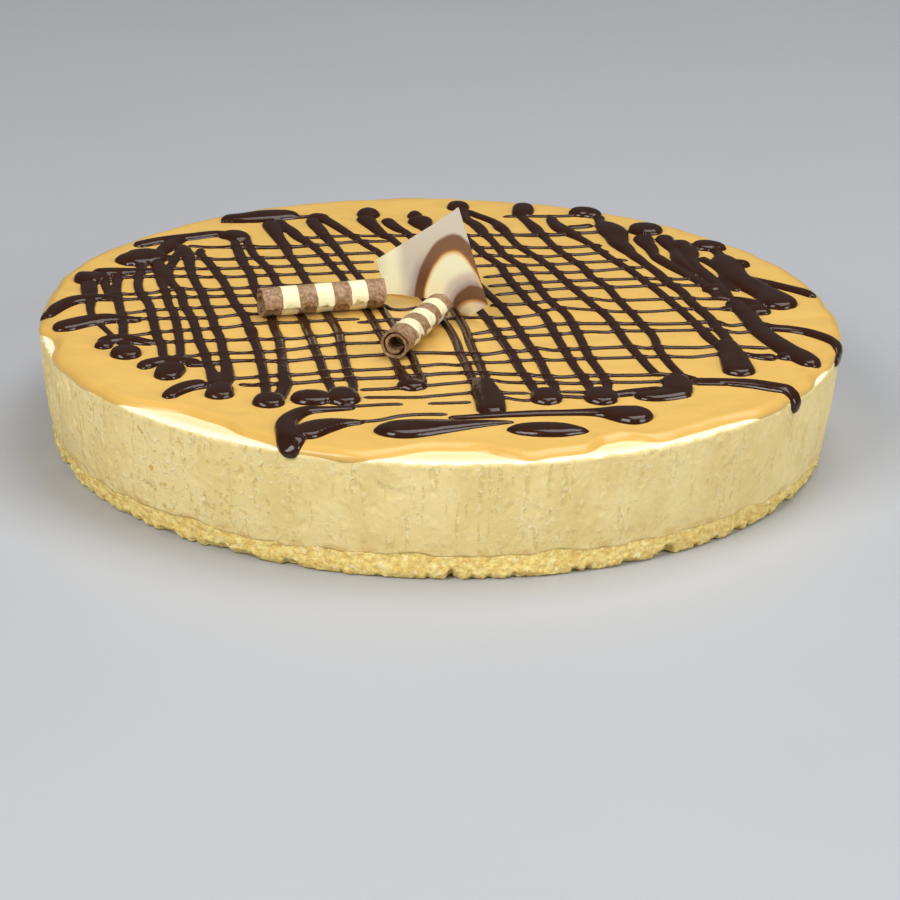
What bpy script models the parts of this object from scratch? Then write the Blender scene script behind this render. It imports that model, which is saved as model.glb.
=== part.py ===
"""A large round cheesecake with a poured caramel top.

A pressed crumb base carries a thick cream cheese filling. A caramel layer lies on the filling and
stops short of the rim in places. Two rolled chocolate curls and one marbled shard decorate it.
The origin is the centre of the underside, +Z is up and -Y is the front. Lengths are in metres.
"""
import math

import bmesh
import bpy
import numpy as np
from mathutils import Vector

# Cake
RIM_RADIUS = 0.125  # of the filling's top edge: a 25 cm cake
FOOT_RADIUS = 0.1203  # the ring tin is a little wider at its rim
SIDE_BULGE = 0.0009  # how far the side swells between foot and rim
FILLING_TOP = 0.0368
CRUST_TOP = 0.0068
CRUST_WAVE = 0.0006  # how uneven the line between crumb base and filling is at the side
CRUMB_DEPTH = 0.0008  # how deep the crumb base's side is pitted
RIM_ROUNDING = 0.0015
GAP = 0.0003  # between neighbours
AROUND = 144  # points round the cake

# Caramel
CARAMEL_THICKNESS = 0.0017
CARAMEL_REACH = 0.1252  # how far it flows from the middle, measured along the filling's top and rim
CARAMEL_LIP = 0.0030  # width of its rounded edge
LIP_LIFT = 0.0004  # how far the very edge stands off the filling
# Bays where the caramel stops short, and tongues where it runs over the rim, with a depth below
# nothing: bearing in degrees, depth, half width in degrees
BAYS = (
    (-165.5, 0.0034, 4.2), (-126.5, 0.0090, 9.5), (-113.5, 0.0050, 4.5), (-88.0, 0.0098, 8.0),
    (-72.0, 0.0026, 4.0), (-64.0, 0.0084, 4.2), (-54.0, 0.0032, 6.5), (-45.0, 0.0024, 4.5), (-32.5, 0.0010, 2.2),
    (-21.0, 0.0018, 3.6), (24.0, -0.0006, 7.0), (71.0, -0.0004, 9.0), (118.0, -0.0006, 6.0), (160.0, -0.0010, 8.0),
)

# Curls: rolled sheets of striped chocolate
CURL_LENGTH = 0.0395
CURL_RADIUS = 0.0052
CURL_WALL = 0.00085
CURL_TURNS = 1.8
CURL_STEPS_PER_TURN = 18
FIRST_TURN_PITCH = 0.0011  # the outer turn lies tight on the next one
INNER_TURN_PITCH = 0.0018  # the inner turn has sprung open
# Where each curl lies, the side its seam is on, which way it is rolled and how much its far end narrows
LEFT_CURL = {"centre": (-0.0372, -0.0018), "bearing": 17.4, "seam": -4.0, "clockwise": False, "taper": 1.02}
RIGHT_CURL = {"centre": (-0.0070, -0.0255), "bearing": 71.2, "seam": 12.0, "clockwise": False, "taper": 0.92}

# Shard: a thin curved sheet that stands on the caramel
SHARD_THICKNESS = 0.0011
SHARD_FOOT_LEFT = (-0.0172, 0.0181)
SHARD_FOOT_RIGHT = (0.0098, -0.0020)
SHARD_HOLLOW = 0.0050  # how far its middle curves back from the line between its feet
SHARD_CUT_SLOPE = 0.38  # its free edges are cut sloping down to the back
# Corners of its front face, from the left foot round to the right foot: x, height above the foot
SHARD_CORNERS = ((-0.0172, 0.0), (-0.0210, 0.0110), (0.0049, 0.0330), (0.0147, 0.0062), (0.0098, 0.0))


def material(name, colour, roughness):
    """A plain surface of one colour, given as linear red, green and blue."""
    made = bpy.data.materials.new(name)
    made.use_nodes = True
    surface = made.node_tree.nodes["Principled BSDF"]
    surface.inputs["Base Color"].default_value = (*colour, 1.0)
    surface.inputs["Roughness"].default_value = roughness
    surface.inputs["Metallic"].default_value = 0.0
    return made


def add_object(name, bm, finish, sharp_angle=40.0):
    """Turn a finished bmesh into a named, smooth-shaded object."""
    bmesh.ops.recalc_face_normals(bm, faces=bm.faces)
    mesh = bpy.data.meshes.new(name)
    bm.to_mesh(mesh)
    bm.free()
    mesh.materials.append(finish)
    mesh.shade_smooth()
    mesh.set_sharp_from_angle(angle=math.radians(sharp_angle))
    made = bpy.data.objects.new(name, mesh)
    bpy.context.collection.objects.link(made)
    return made


def waves(seed, counts):
    """A smooth uneven function of the bearing, between about -1 and 1."""
    phases = np.random.default_rng(seed).uniform(0.0, 2.0 * math.pi, len(counts))
    return lambda bearing: sum(math.sin(n * bearing + p) for n, p in zip(counts, phases)) / len(counts) ** 0.5


def place_ring(verts, section):
    """Move each vertex to the radius and height that the section gives for its bearing."""
    for vert in verts:
        bearing = math.atan2(vert.co.y, vert.co.x)
        radius, height = section(bearing)
        vert.co = Vector((radius * math.cos(bearing), radius * math.sin(bearing), height))


def stacked_body(name, sections, finish):
    """A closed body through a stack of rings, from its underside to its top."""
    bm = bmesh.new()
    verts = bmesh.ops.create_circle(bm, cap_ends=True, segments=AROUND, radius=1.0)["verts"]
    edges = list(bm.edges)
    place_ring(verts, sections[0])
    for section in sections[1:]:
        grown = bmesh.ops.extrude_edge_only(bm, edges=edges)["geom"]
        verts = [item for item in grown if isinstance(item, bmesh.types.BMVert)]
        edges = [item for item in grown if isinstance(item, bmesh.types.BMEdge)
                 and item.verts[0] in verts and item.verts[1] in verts]
        place_ring(verts, section)
    bmesh.ops.edgeloop_fill(bm, edges=edges)
    return add_object(name, bm, finish)


def side_radius(height):
    """Radius of the cake's side at a height above its underside."""
    share = height / FILLING_TOP
    return FOOT_RADIUS + (RIM_RADIUS - FOOT_RADIUS) * share + SIDE_BULGE * math.sin(math.pi * share)


def on_filling(reach, rise=0.0):
    """Radius and height of a point on the filling, followed out from the middle and down over the rim.

    Reach is the distance followed, rise is the height above the surface there.
    """
    flat = RIM_RADIUS - RIM_ROUNDING
    round_length = RIM_ROUNDING * math.pi / 2.0
    if reach <= flat:
        return reach, FILLING_TOP + rise
    turn = min((reach - flat) / RIM_ROUNDING, math.pi / 2.0)
    down = max(reach - flat - round_length, 0.0)
    radius = flat + (RIM_ROUNDING + rise) * math.sin(turn)
    return radius, FILLING_TOP - RIM_ROUNDING + (RIM_ROUNDING + rise) * math.cos(turn) - down


crust_line = waves(3, (5, 8, 13, 21))
crumb_lumps = waves(4, (17, 29, 37, 41, 53))
crumb_nicks = waves(5, (23, 31, 43, 47, 59))
side_dents = waves(6, (3, 7, 11, 19))


def crumb_base():
    """The pressed crumb base, with a pitted side and a nibbled lower edge."""
    def ring(height, inset, rough, wavy=0.0):
        def section(bearing):
            pits = rough * CRUMB_DEPTH * (0.6 * crumb_lumps(bearing) + 0.4 * crumb_nicks(bearing + 40.0 * height))
            return side_radius(height) - inset + pits, height + wavy * CRUST_WAVE * crust_line(bearing)
        return section

    sections = [
        ring(0.0, 0.0300, 0.0),
        ring(0.0, 0.0020, 0.6),
        ring(0.0011, 0.0004, 1.0),
        ring(0.0026, 0.0000, 0.7),
        ring(0.0043, 0.0000, 0.8),
        ring(CRUST_TOP, 0.0005, 0.3, wavy=1.0),
        ring(CRUST_TOP, 0.0060, 0.0, wavy=1.0),
        ring(CRUST_TOP, 0.0300, 0.0),
    ]
    return stacked_body("crumb_base", sections, material("crumb", (0.72, 0.55, 0.20), 0.85))


def filling():
    """The cream cheese filling: a scraped, slightly swelling side and a rounded rim."""
    bottom = CRUST_TOP + GAP

    def flat(radius, height, wavy):
        return lambda bearing: (radius, height + wavy * CRUST_WAVE * crust_line(bearing))

    def side(height, wavy=0.0):
        def section(bearing):
            dent = 0.0003 * side_dents(bearing + 20.0 * height)
            return side_radius(height) + dent, height + wavy * CRUST_WAVE * crust_line(bearing)
        return section

    def rim(turn):
        reach = RIM_RADIUS - RIM_ROUNDING + RIM_ROUNDING * math.radians(turn)
        return lambda bearing: on_filling(reach)

    sections = [
        flat(side_radius(bottom) - 0.0300, bottom, 0.0),
        flat(side_radius(bottom) - 0.0060, bottom, 1.0),
        side(bottom, wavy=1.0),
        side(0.0130),
        side(0.0210),
        side(0.0290),
        rim(90.0),
        rim(65.0),
        rim(35.0),
        rim(0.0),
        flat(0.1000, FILLING_TOP, 0.0),
    ]
    return stacked_body("filling", sections, material("filling", (0.77, 0.62, 0.28), 0.45))


def caramel_edge(bearing):
    """How far the caramel reaches: about to the rim, less in its bays and more in its tongues."""
    reach = CARAMEL_REACH + 0.0003 * side_dents(2.0 * bearing)
    for bay, depth, half_width in BAYS:
        off = (math.degrees(bearing) - bay + 180.0) % 360.0 - 180.0
        reach -= depth * math.exp(-abs(off / half_width) ** 3)
    return reach


def caramel_layer():
    """The caramel: it follows the filling's top and ends in a rounded lip."""
    def under(inset):
        lift = GAP + LIP_LIFT * math.exp(-inset / LIP_LIFT)
        return lambda bearing: on_filling(caramel_edge(bearing) - inset, lift)

    def over(inset):
        share = min(inset / CARAMEL_LIP, 1.0)
        rise = LIP_LIFT + (CARAMEL_THICKNESS - LIP_LIFT) * math.sqrt(1.0 - (1.0 - share) ** 2)
        return lambda bearing: on_filling(caramel_edge(bearing) - inset, GAP + rise)

    under_insets = (0.0300, 0.0050, 0.0035, 0.0025, 0.0016, 0.0008)
    over_insets = (0.0, 0.0002, 0.0008, 0.0018, CARAMEL_LIP, 0.0045, 0.0300)
    sections = [under(inset) for inset in under_insets] + [over(inset) for inset in over_insets]
    return stacked_body("caramel_layer", sections, material("caramel", (0.80, 0.48, 0.14), 0.22))


def curl_section(seam, clockwise):
    """Outline of the rolled sheet: down its outer face from the seam, then back along its inner one."""
    outer, inner = [], []
    steps = round(CURL_TURNS * CURL_STEPS_PER_TURN)
    radius = CURL_RADIUS
    for step in range(steps + 1):
        turn = step / CURL_STEPS_PER_TURN
        angle = math.radians(seam) + 2.0 * math.pi * turn * (-1.0 if clockwise else 1.0)
        direction = Vector((math.cos(angle), 0.0, math.sin(angle)))
        outer.append(direction * radius)
        inner.append(direction * (radius - CURL_WALL))
        pitch = FIRST_TURN_PITCH + (INNER_TURN_PITCH - FIRST_TURN_PITCH) * min(turn / CURL_TURNS, 1.0)
        radius -= pitch / CURL_STEPS_PER_TURN
    return outer, inner


def chocolate_curl(name, place):
    """A rolled sheet of chocolate that lies on the caramel, open down the middle."""
    outer, inner = curl_section(place["seam"], place["clockwise"])
    bm = bmesh.new()
    outer_verts = [bm.verts.new(point) for point in outer]
    inner_verts = [bm.verts.new(point) for point in inner]
    for step in range(len(outer) - 1):
        bm.faces.new((outer_verts[step], outer_verts[step + 1], inner_verts[step + 1], inner_verts[step]))
    bmesh.ops.translate(bm, verts=bm.verts, vec=(0.0, -CURL_LENGTH / 2.0, 0.0))
    grown = bmesh.ops.extrude_face_region(bm, geom=bm.faces[:])["geom"]
    far_end = [item for item in grown if isinstance(item, bmesh.types.BMVert)]
    bmesh.ops.translate(bm, verts=far_end, vec=(0.0, CURL_LENGTH, 0.0))
    lowest = min(vert.co.z for vert in bm.verts)
    for vert in far_end:
        vert.co.x *= place["taper"]
        vert.co.z = lowest + (vert.co.z - lowest) * place["taper"]
    curl = add_object(name, bm, material(name, (0.53, 0.35, 0.20), 0.5))
    curl.location = (*place["centre"], FILLING_TOP + CARAMEL_THICKNESS + 2.0 * GAP - lowest)
    curl.rotation_euler = (0.0, 0.0, math.radians(place["bearing"] - 90.0))
    return curl


def shard_depth(x):
    """Y of the standing shard's front face at a given x: a shallow curve, hollow to the front."""
    left, right = SHARD_FOOT_LEFT, SHARD_FOOT_RIGHT
    along = (x - left[0]) / (right[0] - left[0])
    straight = left[1] + (right[1] - left[1]) * along
    return straight + SHARD_HOLLOW * (1.0 - (2.0 * along - 1.0) ** 2)


def chocolate_shard():
    """A curved upright sheet with a level foot, trimmed by one straight cut along each free edge."""
    corners = [Vector((x, shard_depth(x), height)) for x, height in SHARD_CORNERS]
    overrun = 0.0020
    xs = np.linspace(min(corner.x for corner in corners) - overrun,
                     max(corner.x for corner in corners) + overrun, 19)
    bm = bmesh.new()
    front, back = [], []
    for x in xs:
        point = Vector((x, shard_depth(x), 0.0))
        slope = (shard_depth(x + GAP) - shard_depth(x - GAP)) / (2.0 * GAP)
        front.append(bm.verts.new(point))
        back.append(bm.verts.new(point + Vector((-slope, 1.0, 0.0)).normalized() * SHARD_THICKNESS))
    for step in range(len(xs) - 1):
        bm.faces.new((front[step], front[step + 1], back[step + 1], back[step]))
    grown = bmesh.ops.extrude_face_region(bm, geom=bm.faces[:])["geom"]
    tall = max(corner.z for corner in corners) + overrun
    bmesh.ops.translate(bm, verts=[item for item in grown if isinstance(item, bmesh.types.BMVert)],
                        vec=(0.0, 0.0, tall))
    middle = sum(corners, Vector()) / len(corners)
    away = Vector((0.0, 1.0, -SHARD_CUT_SLOPE))
    for start, end in zip(corners, corners[1:]):
        outward = (end - start).cross(away).normalized()
        if outward.dot(middle - start) > 0.0:
            outward.negate()
        cut = bmesh.ops.bisect_plane(bm, geom=bm.verts[:] + bm.edges[:] + bm.faces[:], dist=1e-6,
                                     plane_co=start, plane_no=outward, clear_outer=True)
        edges = [item for item in cut["geom_cut"] if isinstance(item, bmesh.types.BMEdge)]
        bmesh.ops.edgenet_fill(bm, edges=edges)
    shard = add_object("chocolate_shard", bm, material("chocolate_shard", (0.85, 0.78, 0.50), 0.3))
    shard.location.z = FILLING_TOP + CARAMEL_THICKNESS + 2.0 * GAP
    return shard


def build():
    """Clear the scene and model every piece."""
    for old in list(bpy.data.objects):
        bpy.data.objects.remove(old, do_unlink=True)
    crumb_base()
    filling()
    caramel_layer()
    chocolate_curl("chocolate_curl_left", LEFT_CURL)
    chocolate_curl("chocolate_curl_right", RIGHT_CURL)
    chocolate_shard()


build()
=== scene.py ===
"""A set cheesecake with a poured caramel top and a chocolate drizzle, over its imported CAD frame.

Lengths are in metres. The origin is the middle of the underside, +Z is up and -Y is the front.
"""
import math

import bmesh
import bpy
import numpy as np
from mathutils import Matrix, Vector, noise


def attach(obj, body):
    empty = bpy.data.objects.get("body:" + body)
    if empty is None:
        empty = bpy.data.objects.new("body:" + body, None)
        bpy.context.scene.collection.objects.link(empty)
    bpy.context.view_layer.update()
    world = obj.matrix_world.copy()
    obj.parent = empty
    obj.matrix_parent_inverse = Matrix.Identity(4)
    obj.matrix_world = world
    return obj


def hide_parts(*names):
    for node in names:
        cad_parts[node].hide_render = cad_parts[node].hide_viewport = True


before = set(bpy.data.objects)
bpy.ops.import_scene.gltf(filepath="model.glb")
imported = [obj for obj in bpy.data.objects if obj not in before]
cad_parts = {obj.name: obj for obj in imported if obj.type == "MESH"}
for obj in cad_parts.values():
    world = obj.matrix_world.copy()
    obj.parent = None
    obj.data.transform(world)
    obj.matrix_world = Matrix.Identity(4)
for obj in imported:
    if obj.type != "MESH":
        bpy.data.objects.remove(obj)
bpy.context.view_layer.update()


# ---- Table, studio light and camera ----
# The cake stands on a plain pale table top. One large soft box hangs over its left front, a weaker
# one stands at the right, and the dim room behind it keeps the chocolate dark.

def place_new(operator, **settings):
    """Add one thing with nothing else selected, and return it."""
    bpy.ops.object.select_all(action="DESELECT")
    operator(**settings)
    return bpy.context.object


class Amount:
    """What a node gives out. Arithmetic on it adds the Math nodes."""

    def __init__(self, finish, socket):
        self.finish = finish
        self.socket = socket

    def worked(self, operation, *values):
        return self.finish.node("ShaderNodeMath", {"operation": operation}, dict(enumerate(values)))

    def __add__(self, other):
        return self.worked("ADD", self, other)

    def __radd__(self, other):
        return self.worked("ADD", other, self)

    def __sub__(self, other):
        return self.worked("SUBTRACT", self, other)

    def __rsub__(self, other):
        return self.worked("SUBTRACT", other, self)

    def __mul__(self, other):
        return self.worked("MULTIPLY", self, other)

    def __rmul__(self, other):
        return self.worked("MULTIPLY", other, self)

    def __truediv__(self, other):
        return self.worked("DIVIDE", self, other)

    def __pow__(self, other):
        return self.worked("POWER", self, other)

    def __abs__(self):
        return self.worked("ABSOLUTE", self)


class Finish:
    """A food's surface in the making, patterned by place on the object."""

    def __init__(self, name, surface):
        self.made = bpy.data.materials.new(name)
        self.made.use_nodes = True
        self.tree = self.made.node_tree
        self.surface = self.tree.nodes["Principled BSDF"]
        self.show(surface)
        self.place = self.node("ShaderNodeTexCoord", output="Object")

    def join(self, socket, value):
        """Link a socket to a node's result, or set its value."""
        if isinstance(value, Amount):
            self.tree.links.new(value.socket, socket)
        else:
            socket.default_value = value

    def node(self, kind, settings=None, sockets=None, output=0):
        """Add a node: its settings first, then what its sockets hold."""
        made = self.tree.nodes.new(kind)
        for name, value in (settings or {}).items():
            setattr(made, name, value)
        for name, value in (sockets or {}).items():
            self.join(made.inputs[name], value)
        return Amount(self, made.outputs[output])

    def show(self, surface):
        """Give the surface its colour, gloss and relief."""
        for name, value in surface.items():
            self.join(self.surface.inputs[name], value)

    def axis(self, name):
        """One coordinate of the place: X, Y or Z."""
        return self.node("ShaderNodeSeparateXYZ", None, {0: self.place}, name)

    def drawn_out(self, stretch, shift):
        """The place with its pattern stretched along each axis and moved."""
        scale = tuple(1.0 / amount for amount in stretch)
        sockets = {"Vector": self.place, "Scale": scale, "Location": (shift, shift, shift)}
        return self.node("ShaderNodeMapping", None, sockets)

    def clouds(self, size, stretch=(1.0, 1.0, 1.0), detail=2.0, shift=0.0):
        """Soft noise from 0 to 1 in lumps of a size."""
        sockets = {"Vector": self.drawn_out(stretch, shift), "Scale": 1.0 / size, "Detail": detail}
        return self.node("ShaderNodeTexNoise", None, sockets)

    def grains(self, size, stretch=(1.0, 1.0, 1.0), shift=0.0, output="Distance"):
        """Cells of a size: the distance from each one's middle, or its own colour."""
        sockets = {"Vector": self.drawn_out(stretch, shift), "Scale": 1.0 / size}
        return self.node("ShaderNodeTexVoronoi", None, sockets, output)

    def between(self, value, low, high):
        """0 at low and 1 at high, with a smooth step from one to the other."""
        settings = {"interpolation_type": "SMOOTHSTEP"}
        return self.node("ShaderNodeMapRange", settings, {"Value": value, "From Min": low, "From Max": high})

    def mix(self, share, first, second):
        """From the first colour to the second as share goes from 0 to 1."""
        first, second = (c if isinstance(c, Amount) else (*c, 1.0) for c in (first, second))
        return self.node("ShaderNodeMix", {"data_type": "RGBA"}, {0: share, 6: first, 7: second}, 2)

    def relief(self, height, depth):
        """Small bumps: a height of 1 stands out by depth."""
        return self.node("ShaderNodeBump", None, {"Height": height, "Distance": depth}, "Normal")


TABLE_SIZE = 8.0
TABLE_COLOUR = (0.49, 0.504, 0.532)

table = place_new(bpy.ops.mesh.primitive_plane_add, size=TABLE_SIZE, location=(0.0, 0.0, -0.0002))
table.name = "table_top"
bpy.ops.object.mode_set(mode="EDIT")
bpy.ops.mesh.subdivide(number_cuts=7)
bpy.ops.object.mode_set(mode="OBJECT")
table_finish = Finish("table_top", {"Roughness": 0.55})
table_cloud = table_finish.clouds(0.09, detail=4.0)
table_finish.show({
    "Base Color": table_finish.mix(table_cloud, TABLE_COLOUR, tuple(0.95 * c for c in TABLE_COLOUR)),
})
table.data.materials.append(table_finish.made)

world = bpy.data.worlds.new("studio")
world.use_nodes = True
world.node_tree.nodes["Background"].inputs["Color"].default_value = (0.95, 0.97, 1.0, 1.0)
world.node_tree.nodes["Background"].inputs["Strength"].default_value = 0.10
bpy.context.scene.world = world


def soft_box(name, location, size, power, warmth=1.0):
    """A large square light, turned to the cake."""
    aim = (Vector((0.0, 0.0, 0.03)) - Vector(location)).to_track_quat("-Z", "Y").to_euler()
    light = place_new(bpy.ops.object.light_add, type="AREA", location=location, rotation=aim)
    light.name = name
    light.data.size = size
    light.data.energy = power
    light.data.color = (1.0, 0.5 + 0.5 * warmth, warmth)


soft_box("left_front_box", (-0.75, -0.95, 0.95), 0.80, 17.0, 0.97)
soft_box("right_front_box", (1.15, -0.75, 0.60), 0.70, 9.5)
soft_box("overhead_box", (0.40, 0.20, 1.32), 1.00, 12.2)

CAMERA_PLACE = (0.0039, -1.1136, 0.4196)
CAMERA_PITCH = 20.95  # degrees below level
CAMERA_ROLL = 1.24
camera = place_new(bpy.ops.object.camera_add, location=CAMERA_PLACE)
camera.rotation_euler = (
    Matrix.Rotation(math.radians(90.0 - CAMERA_PITCH), 3, "X")
    @ Matrix.Rotation(math.radians(CAMERA_ROLL), 3, "Z")
).to_euler()
camera.data.sensor_width = 36.0
camera.data.lens = 150.0
bpy.context.scene.camera = camera
bpy.context.scene.view_settings.view_transform = "Standard"


# ---- Crumb base ----
# Biscuit crumbs pressed into the tin with butter. The side shows every grain, and the lower edge
# is nibbled where crumbs fell away as the ring came off.

RIM_RADIUS = 0.125
FOOT_RADIUS = 0.1203
SIDE_BULGE = 0.0009
FILLING_TOP = 0.0368
CRUST_TOP = 0.0068
CRUST_WAVE = 0.0007
CRUST_SWELL = 0.0010


def choose(piece, kind, test):
    """Select, in edit mode, only what passes a test: VERT, EDGE or FACE."""
    bpy.ops.mesh.select_mode(type=kind)
    bpy.ops.mesh.select_all(action="DESELECT")
    bm = bmesh.from_edit_mesh(piece.data)
    for item in {"VERT": bm.verts, "EDGE": bm.edges, "FACE": bm.faces}[kind]:
        item.select_set(test(item))
    bm.select_flush_mode()
    bmesh.update_edit_mesh(piece.data)


def points_of(piece):
    """The places of a piece's vertices, one row each."""
    flat = np.empty(len(piece.data.vertices) * 3, np.float32)
    piece.data.vertices.foreach_get("co", flat)
    return flat.reshape(-1, 3).astype(float)


def move_points(piece, points):
    """Give a piece's vertices new places."""
    piece.data.vertices.foreach_set("co", np.asarray(points, np.float32).ravel())
    piece.data.update()


def turned_body(name, around, rows, section):
    """A round closed body: a sleeve cut into rows, bent to a section and filled at both ends.

    The section takes the share of the way along it and the bearing, and gives radius and height.
    """
    body = place_new(bpy.ops.mesh.primitive_cylinder_add, vertices=around, radius=1.0, depth=2.0,
                     end_fill_type="NOTHING")
    body.name = name
    bpy.ops.object.mode_set(mode="EDIT")
    choose(body, "EDGE", lambda edge: abs(edge.verts[0].co.z - edge.verts[1].co.z) > 1.0)
    bpy.ops.mesh.subdivide(number_cuts=rows - 1)
    for end in (-1.0, 1.0):
        choose(body, "VERT", lambda vert: abs(vert.co.z - end) < 1e-4)
        bpy.ops.mesh.edge_face_add()
    bpy.ops.mesh.select_all(action="SELECT")
    bpy.ops.mesh.normals_make_consistent(inside=False)
    bpy.ops.object.mode_set(mode="OBJECT")
    points = points_of(body)
    bearing = np.arctan2(points[:, 1], points[:, 0])
    share = (points[:, 2] + 1.0) / 2.0
    body.data.attributes.new("along_section", "FLOAT", "POINT").data.foreach_set("value", share)
    radius, height = section(share, bearing)
    move_points(body, np.stack((radius * np.cos(bearing), radius * np.sin(bearing), height), axis=1))
    bpy.ops.object.shade_smooth()
    return body


def waves(seed, counts):
    """A smooth uneven function of the bearing, between about -1 and 1."""
    phases = np.random.default_rng(seed).uniform(0.0, 2.0 * math.pi, len(counts))
    return lambda bearing: sum(np.sin(n * bearing + p) for n, p in zip(counts, phases)) / len(counts) ** 0.5


def lumps(points, size, stretch=1.0, shift=0.0):
    """Soft noise at each point, about -1 to 1, in lumps of a size, drawn out upwards."""
    scaled = points / size / np.array((1.0, 1.0, stretch)) + shift
    return np.array([noise.noise(point) for point in scaled.tolist()])


def side_radius(height):
    """Radius of the cake's side at a height above its underside."""
    share = height / FILLING_TOP
    return FOOT_RADIUS + (RIM_RADIUS - FOOT_RADIUS) * share + SIDE_BULGE * np.sin(math.pi * share)


def smooth_step(value, low, high):
    """0 at low and 1 at high, with a smooth step from one to the other."""
    share = np.clip((value - low) / (high - low), 0.0, 1.0)
    return share * share * (3.0 - 2.0 * share)


crust_line = waves(3, (5, 8, 13, 21, 34, 55))
COARSE_CRUMB = 0.0024
FINE_CRUMB = 0.0012
# The base's section, from the inside of its underside out and up to the inside of its top
BASE_SECTION = ((0.0, 0.030, 0.0), (0.12, 0.0006, 0.0), (0.20, 0.0001, 0.0005), (0.30, -0.0001, 0.0016),
                (0.55, 0.0, 0.0040), (0.80, 0.0, 0.0062), (0.88, 0.0003, 0.0068), (1.0, 0.030, 0.0068))


def thick_part(bearing):
    """1 at the front, where the crumbs were pressed thicker and squeezed out at the foot, 0 further round."""
    return np.exp(-((np.degrees(bearing) + 90.0) / 34.0) ** 2)


def crust_top(bearing):
    """Height of the crumbs' upper edge."""
    return CRUST_TOP + CRUST_SWELL * thick_part(bearing) + CRUST_WAVE * crust_line(bearing)


def base_section(share, bearing):
    stops, insets, heights = zip(*BASE_SECTION)
    height = np.interp(share, stops, heights)
    squeezed = 0.0017 * thick_part(bearing) * smooth_step(height, 0.0068, 0.0016) * (share > 0.10)
    radius = side_radius(height) - np.interp(share, stops, insets) + squeezed
    return radius, height + smooth_step(height, 0.001, CRUST_TOP) * (crust_top(bearing) - CRUST_TOP)


def crumbs(points, size):
    """How far pressed crumbs of a size stand out at each point, about -0.3 to 0.7."""
    heights = []
    for point in (points / size).tolist():
        spot = Vector(point)
        distances, middles = noise.voronoi(spot + 0.45 * noise.noise_vector(spot * 1.6))
        heights.append((0.75 - distances[0]) * (0.75 + 0.55 * noise.noise(middles[0] * 5.3)))
    return np.array(heights) - 0.15


base = turned_body("crumb_base_crust", 1440, 28, base_section)
points = points_of(base)
height = points[:, 2]
outward = points * (1.0, 1.0, 0.0) / np.hypot(points[:, 0], points[:, 1])[:, None]
on_side = np.hypot(points[:, 0], points[:, 1]) > FOOT_RADIUS - 0.008
grain = np.zeros(len(points))
grain[on_side] = 0.0011 * crumbs(points[on_side], COARSE_CRUMB) + 0.0004 * crumbs(points[on_side], FINE_CRUMB)
ground = outward * FOOT_RADIUS
bitten = 0.0015 * smooth_step(lumps(ground, 0.0030), 0.0, 0.45) + 0.0032 * smooth_step(
    lumps(ground, 0.012, shift=4.0), 0.28, 0.46)
grain -= on_side * bitten * smooth_step(height, 0.0012 + 0.9 * bitten, 0.0002 + 0.4 * bitten)
move_points(base, points + outward * grain[:, None])

crumb_finish = Finish("pressed_crumbs", {"Roughness": 0.80, "Specular IOR Level": 0.30})
crumb_tone = crumb_finish.clouds(0.0022, detail=4.0)
crumb_colour = crumb_finish.mix(crumb_finish.between(crumb_tone, 0.36, 0.62), (0.79, 0.550, 0.155), (0.91, 0.735, 0.265))
# Darker patches between the crumbs: painted shade in the gaps.
crumb_gap_shade = crumb_finish.between(crumb_finish.clouds(0.0012, detail=3.0, shift=2.0), 0.44, 0.34)
crumb_speck = crumb_finish.between(crumb_finish.clouds(0.0017, detail=2.0, shift=4.0), 0.64, 0.70)
crumb_pale = crumb_finish.between(crumb_finish.clouds(0.0019, detail=2.0, shift=7.0), 0.60, 0.68)
crumb_colour = crumb_finish.mix(crumb_gap_shade * 0.50, crumb_colour, (0.56, 0.36, 0.095))
crumb_colour = crumb_finish.mix(crumb_speck * 0.60, crumb_colour, (0.62, 0.31, 0.080))
crumb_colour = crumb_finish.mix(crumb_pale * 0.70, crumb_colour, (0.96, 0.87, 0.50))
crumb_height = crumb_finish.clouds(0.0013, detail=5.0, shift=1.0) + crumb_finish.clouds(0.0006, detail=2.0) * 0.4
crumb_finish.show({"Base Color": crumb_colour, "Normal": crumb_finish.relief(crumb_height, 0.0007)})
base.data.materials.append(crumb_finish.made)
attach(base, "root")
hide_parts("crumb_base")


# ---- Cream cheese filling ----
# A thick set filling. Its side was scraped clean with a knife, which dragged pores and curds into
# upright seams, and its smooth rounded rim shows wherever the caramel stops short.

RIM_ROUNDING = 0.0015
GAP = 0.0003


def on_filling(reach, rise):
    """Radius and height of a point on the filling, followed out from the middle and down over the rim."""
    flat = RIM_RADIUS - RIM_ROUNDING
    turn = np.clip((reach - flat) / RIM_ROUNDING, 0.0, math.pi / 2.0)
    down = np.maximum(reach - flat - RIM_ROUNDING * math.pi / 2.0, 0.0)
    radius = np.minimum(reach, flat) + (RIM_ROUNDING + rise) * np.sin(turn)
    lean = side_radius(FILLING_TOP - RIM_ROUNDING) - side_radius(FILLING_TOP - RIM_ROUNDING - down)
    return radius - lean, FILLING_TOP - RIM_ROUNDING + (RIM_ROUNDING + rise) * np.cos(turn) - down


def filling_section(share, bearing):
    bottom = crust_top(bearing) - 0.0004
    side = smooth_step(share, 0.05, 0.05001)
    climb = np.clip((share - 0.07) / 0.69, 0.0, 1.0)
    height = bottom + (FILLING_TOP - RIM_ROUNDING - bottom) * climb
    radius = side_radius(height) - (1.0 - side) * 0.02
    turn = np.clip((share - 0.76) / 0.10, 0.0, 1.0) * math.pi / 2.0
    rim_radius, rim_height = on_filling(RIM_RADIUS - RIM_ROUNDING + RIM_ROUNDING * (math.pi / 2.0 - turn), 0.0)
    on_rim = share > 0.76
    inset = np.interp(share, (0.86, 0.97, 1.0), (0.0, 0.014, 0.040))
    return np.where(on_rim, rim_radius, radius) - inset, np.where(on_rim, rim_height, height)


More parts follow.
